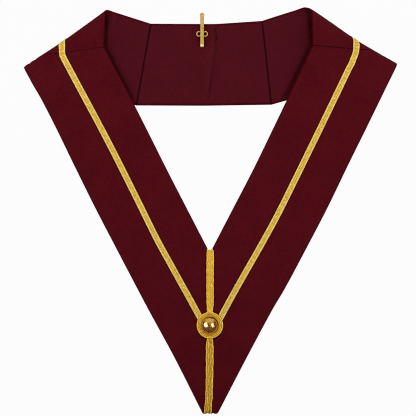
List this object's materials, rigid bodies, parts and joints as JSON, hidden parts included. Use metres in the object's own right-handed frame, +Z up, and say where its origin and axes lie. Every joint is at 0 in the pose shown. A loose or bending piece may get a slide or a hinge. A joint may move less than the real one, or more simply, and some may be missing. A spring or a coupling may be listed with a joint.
{
  "type": "masonic collar",
  "caption": "V-shaped crimson cloth neck collar lying flat, edged down each front with gilt woven lace, with a corded rosette, a domed gilt button and a wire jewel hook at the neck.",
  "frame": {"origin": "middle of the base of the object's box, on the surface it lies on", "axes": "+Z up out of the surface, +Y from the point of the V towards the neck, +X to the right as seen from above"},
  "size_m": [0.4534, 0.4954, 0.0216],
  "materials": {
    "crimson_cloth": "matt crimson cloth with a fine weave",
    "lining_cloth": "smooth crimson cotton lining",
    "gilt_lace": "woven gilt metal thread with light selvedges",
    "gilt_cord": "twisted gilt metal thread cord",
    "gilt_metal": "polished gilt"
  },
  "bodies": {
    "root": {"front_panel_left": "crimson_cloth", "front_panel_right": "crimson_cloth", "shoulder_panel_left": "crimson_cloth", "shoulder_panel_right": "crimson_cloth", "back_panel": "crimson_cloth", "shoulder_lining_left": "lining_cloth", "shoulder_lining_right": "lining_cloth", "back_lining": "lining_cloth", "side_lace_left": "gilt_lace", "side_lace_right": "gilt_lace", "back_lace": "gilt_lace", "braid_upper": "gilt_cord", "braid_lower": "gilt_cord", "rosette": "gilt_cord", "button": "gilt_metal", "jewel_hook": "gilt_metal"}
  },
  "joints": []
}
